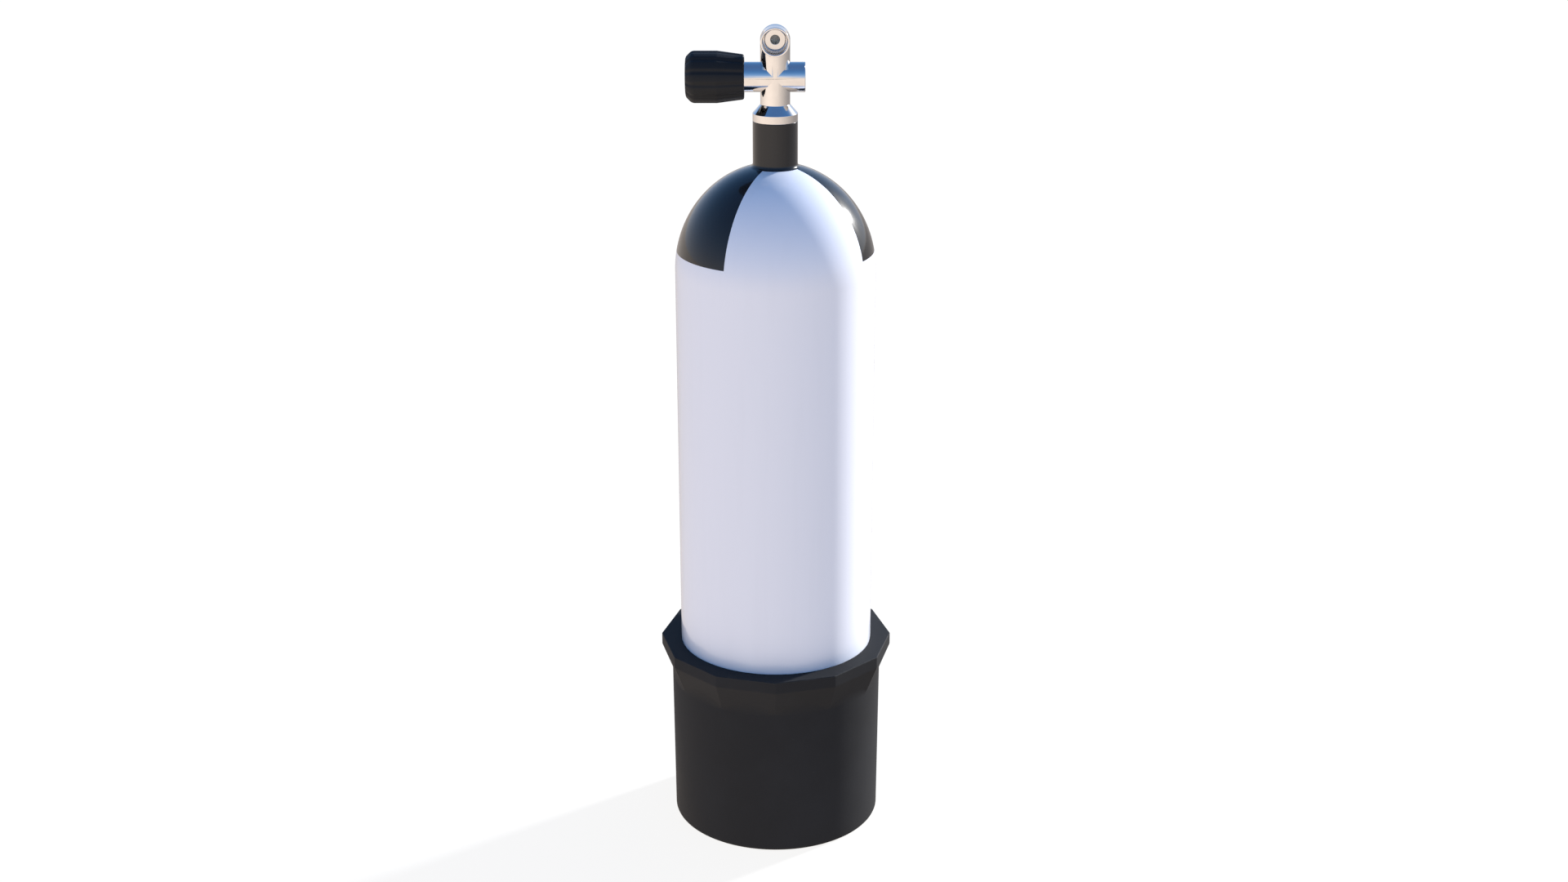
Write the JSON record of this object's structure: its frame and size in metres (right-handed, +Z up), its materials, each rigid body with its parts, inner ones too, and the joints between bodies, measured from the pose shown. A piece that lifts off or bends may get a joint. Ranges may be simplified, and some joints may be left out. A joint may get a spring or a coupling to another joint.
{
  "type": "scuba tank",
  "caption": "Painted steel scuba tank with a domed shoulder, twelve-sided rubber boot, chromed DIN pillar valve and rubber grip knob that opens it.",
  "frame": {"origin": "centre of the boot's flat foot, on the tank's axis", "axes": "+Z up the tank's axis, the valve's outlet faces -Y and the knob is on the -X side"},
  "size_m": [0.207, 0.207, 0.7186],
  "materials": {
    "shell_paint": "gloss white enamel with two black shoulder quarters and a black neck",
    "boot_rubber": "satin black moulded rubber",
    "valve_chrome": "bright chrome plate on brass",
    "knob_rubber": "matt black grip rubber",
    "knob_plastic": "black moulded hub",
    "brass": "turned brass",
    "spring_steel": "drawn spring wire and stainless fixings",
    "seal_rubber": "black nitrile",
    "seat_plastic": "natural white nylon and PTFE"
  },
  "bodies": {
    "tank": {"cylinder_shell": "shell_paint", "tank_boot": "boot_rubber", "valve_body": "valve_chrome", "neck_o_ring": "seal_rubber", "dip_tube": "brass", "inner_thrust_washer": "seat_plastic", "outer_thrust_washer": "seat_plastic", "bonnet_nut": "valve_chrome", "bonnet_seal": "seal_rubber", "blanking_plug": "valve_chrome", "blanking_plug_o_ring": "seal_rubber"},
    "spindle": {"upper_spindle": "brass", "spindle_o_rings": "seal_rubber", "knob_spring": "spring_steel", "knob_cup_washer": "spring_steel", "knob_nut": "spring_steel"},
    "knob": {"knob_hub": "knob_plastic", "knob_grip": "knob_rubber"},
    "seat": {"valve_seat": "seat_plastic"},
    "lower_spindle": {"lower_spindle": "brass"}
  },
  "joints": [
    {"name": "knob_turn", "type": "hinge", "parent": "tank", "child": "spindle", "pos_m": [-0.04, 0, 0.6753], "axis": [-1, 0, 0], "range_deg": [0, 900]},
    {"name": "knob_pull", "type": "slide", "parent": "spindle", "child": "knob", "axis": [-1, 0, 0], "range_m": [0, 0.0015], "stiffness_N_per_m": 4000, "springref_m": -0.002, "deforming": ["knob_spring"]},
    {"name": "seat_travel", "type": "slide", "parent": "tank", "child": "seat", "axis": [-1, 0, 0], "range_m": [0, 0.0025]},
    {"name": "lower_spindle_turn", "type": "hinge", "parent": "seat", "child": "lower_spindle", "pos_m": [-0.012, 0, 0.6753], "axis": [-1, 0, 0], "range_deg": [0, 900]}
  ],
  "couplings": [
    {"joint": "seat_travel", "follows": "knob_turn", "m_per_rad": 0.00015915},
    {"joint": "lower_spindle_turn", "follows": "knob_turn", "ratio": 1}
  ]
}
